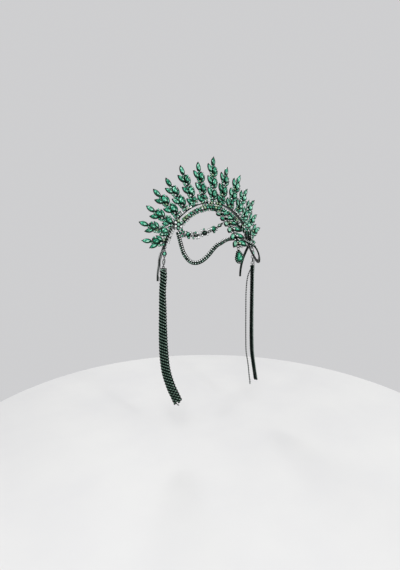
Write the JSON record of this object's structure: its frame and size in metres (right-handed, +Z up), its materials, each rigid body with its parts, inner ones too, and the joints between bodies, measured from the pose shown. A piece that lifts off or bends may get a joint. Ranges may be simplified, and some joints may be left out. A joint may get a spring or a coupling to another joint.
{
  "type": "bridal crown",
  "caption": "Bridal crown with a fan of jewelled sprays, a forehead spray with a hanging pear pendant, side garlands and swags, and two long tassels.",
  "frame": {"origin": "under the top of the inner arc, where the crown sits on the head", "axes": "+Z up, -Y the way the wearer faces, +X towards the wearer's left"},
  "size_m": [0.2264, 0.0891, 0.3522],
  "materials": {
    "black_metal": "glossy gunmetal black",
    "green_stone": "faceted emerald green glass",
    "clear_stone": "faceted clear crystal",
    "cup_chain": "dark cup chain set with small stones"
  },
  "bodies": {
    "crown": {"headband": "black_metal", "inner_arc": "black_metal", "arc_stones": "clear_stone", "spray_1": "black_metal", "spray_stones_1": "green_stone", "spray_2": "black_metal", "spray_stones_2": "green_stone", "spray_3": "black_metal", "spray_stones_3": "green_stone", "spray_4": "black_metal", "spray_stones_4": "green_stone", "spray_5": "black_metal", "spray_stones_5": "green_stone", "spray_6": "black_metal", "spray_stones_6": "green_stone", "spray_7": "black_metal", "spray_stones_7": "green_stone", "spray_8": "black_metal", "spray_stones_8": "green_stone", "spray_9": "black_metal", "spray_stones_9": "green_stone", "spray_10": "black_metal", "spray_stones_10": "green_stone", "spray_11": "black_metal", "spray_stones_11": "green_stone", "spray_12": "black_metal", "spray_stones_12": "green_stone", "spray_13": "black_metal", "spray_stones_13": "green_stone", "spray_14": "black_metal", "spray_stones_14": "green_stone", "spray_15": "black_metal", "spray_stones_15": "green_stone", "brow_spray": "black_metal", "brow_stones": "clear_stone", "brow_ring": "black_metal", "right_flower": "black_metal", "right_flower_stones": "green_stone", "right_garland": "black_metal", "right_garland_stones": "green_stone", "right_swag": "cup_chain", "right_tassel_links": "black_metal", "right_tassel_stones": "green_stone", "right_tassel": "cup_chain", "left_flower": "black_metal", "left_flower_stones": "green_stone", "left_garland": "black_metal", "left_garland_stones": "green_stone", "left_swag": "cup_chain", "left_tassel_links": "black_metal", "left_tassel_stones": "green_stone", "left_tassel": "cup_chain"},
    "pendant": {"pendant_frame": "black_metal", "pendant_stone": "green_stone", "pendant_halo": "clear_stone"}
  },
  "joints": [
    {"name": "pendant_swing", "type": "hinge", "parent": "crown", "child": "pendant", "pos_m": [0, -0.05558, -0.05534], "axis": [1, 0, 0], "range_deg": [-75, 60]}
  ]
}
